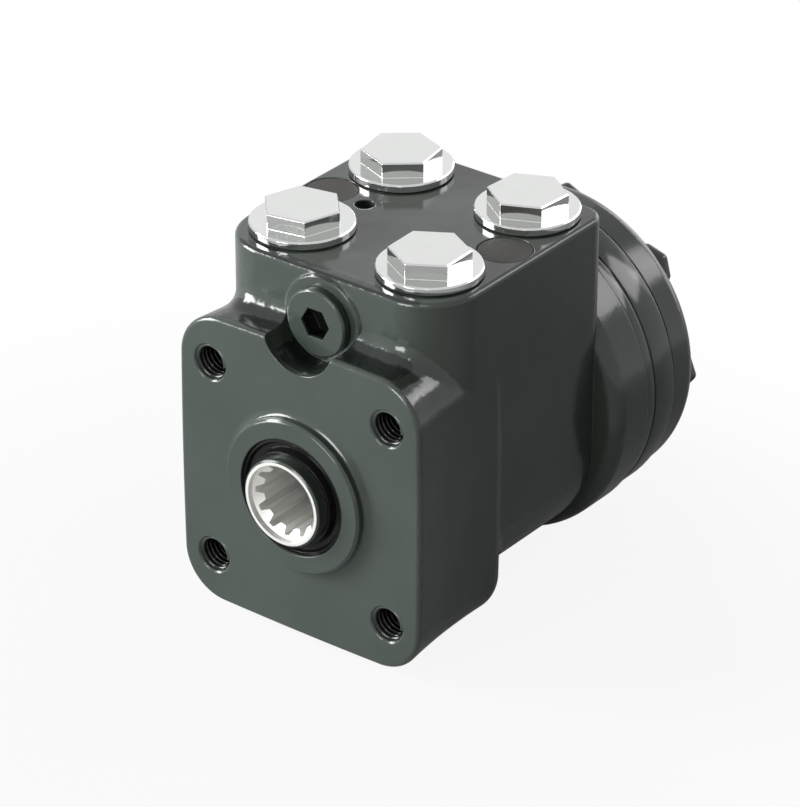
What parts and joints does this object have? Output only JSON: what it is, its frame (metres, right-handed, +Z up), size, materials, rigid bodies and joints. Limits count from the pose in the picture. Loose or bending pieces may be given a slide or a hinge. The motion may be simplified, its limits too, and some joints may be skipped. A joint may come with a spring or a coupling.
{
  "type": "orbital steering unit",
  "caption": "Hydrostatic steering valve with a square mounting flange, splined input socket, plugged ports on top and an orbiting gear set behind a round cover.",
  "frame": {"origin": "crossing of the shaft axis and the mounting face of the front flange", "axes": "+Y runs along the shaft into the unit, +Z up to the port face, +X to the right seen from the steering column"},
  "size_m": [0.0916, 0.1326, 0.1125],
  "materials": {
    "enamel": "glossy dark grey-green enamel over cast iron",
    "plating": "bright plated steel",
    "machined_steel": "turned and ground steel",
    "spring_steel": "tempered spring steel",
    "blackened_steel": "matte dark brown-grey",
    "brass": "plain",
    "rubber": "black nitrile rubber"
  },
  "bodies": {
    "housing": {"housing": "enamel", "distributor_plate": "enamel", "gear_ring": "enamel", "end_cover": "enamel", "relief_plug": "enamel", "cover_screw_1": "enamel", "cover_screw_2": "enamel", "cover_screw_3": "enamel", "cover_screw_4": "enamel", "cover_screw_5": "enamel", "cover_screw_6": "enamel", "cover_screw_7": "enamel", "port_plug_front_left": "plating", "port_plug_front_right": "plating", "port_plug_rear_left": "plating", "port_plug_rear_right": "plating", "port_seal_front_left": "rubber", "port_seal_front_right": "rubber", "port_seal_rear_left": "rubber", "port_seal_rear_right": "rubber", "housing_seal_ring": "rubber", "plate_seal_ring": "rubber", "cover_seal_ring": "rubber", "dust_seal": "rubber", "shaft_seal": "rubber", "front_race": "machined_steel", "relief_seat": "machined_steel", "check_bush": "machined_steel", "relief_spring": "spring_steel", "shock_spring_left": "spring_steel", "shock_spring_right": "spring_steel", "needle_cage": "brass", "relief_washer": "brass", "cap_left": "blackened_steel", "cap_right": "blackened_steel"},
    "sleeve": {"sleeve": "machined_steel", "cross_pin": "machined_steel", "rear_race": "machined_steel", "spring_ring": "spring_steel", "leaf_springs_upper": "spring_steel", "leaf_springs_lower": "spring_steel"},
    "spool": {"spool": "machined_steel"},
    "spacer": {"spacer": "machined_steel"},
    "rotor": {"rotor": "machined_steel"},
    "cardan": {"cardan_shaft": "machined_steel"},
    "relief_poppet": {"relief_poppet": "machined_steel"},
    "check_ball": {"check_ball": "machined_steel"},
    "shock_poppet_left": {"shock_poppet_left": "machined_steel"},
    "shock_poppet_right": {"shock_poppet_right": "machined_steel"}
  },
  "joints": [
    {"name": "valve_turn", "type": "hinge", "parent": "housing", "child": "sleeve", "pos_m": [0, 0, 0], "axis": [0, -1, 0], "continuous": true},
    {"name": "column_twist", "type": "hinge", "parent": "sleeve", "child": "spool", "pos_m": [0, 0, 0], "axis": [0, -1, 0], "range_deg": [-11, 11], "stiffness_Nm_per_rad": 3, "deforming": ["leaf_springs_upper", "leaf_springs_lower"]},
    {"name": "rotor_orbit", "type": "hinge", "parent": "housing", "child": "spacer", "pos_m": [0, 0, 0], "axis": [0, -1, 0], "continuous": true},
    {"name": "rotor_spin", "type": "hinge", "parent": "spacer", "child": "rotor", "pos_m": [-0.00135, 0.1031, 0.00222], "axis": [0, -1, 0], "continuous": true},
    {"name": "shaft_spin", "type": "hinge", "parent": "spacer", "child": "cardan", "pos_m": [0, 0.0768, 0], "axis": [0.051, -0.9951, -0.0841], "continuous": true},
    {"name": "relief_opening", "type": "slide", "parent": "housing", "child": "relief_poppet", "axis": [0, -1, 0], "range_m": [0, 0.002], "stiffness_N_per_m": 9000, "deforming": ["relief_spring"]},
    {"name": "check_lift", "type": "slide", "parent": "housing", "child": "check_ball", "axis": [0, 0, 1], "range_m": [0, 0.002]},
    {"name": "shock_opening_left", "type": "slide", "parent": "housing", "child": "shock_poppet_left", "axis": [0, 0, 1], "range_m": [0, 0.0015], "stiffness_N_per_m": 3000, "deforming": ["shock_spring_left"]},
    {"name": "shock_opening_right", "type": "slide", "parent": "housing", "child": "shock_poppet_right", "axis": [0, 0, 1], "range_m": [0, 0.0015], "stiffness_N_per_m": 3000, "deforming": ["shock_spring_right"]}
  ],
  "couplings": [
    {"joint": "valve_turn", "follows": "rotor_orbit", "ratio": -0.16667},
    {"joint": "rotor_spin", "follows": "rotor_orbit", "ratio": -1.1667},
    {"joint": "shaft_spin", "follows": "rotor_orbit", "ratio": -1.1667}
  ]
}
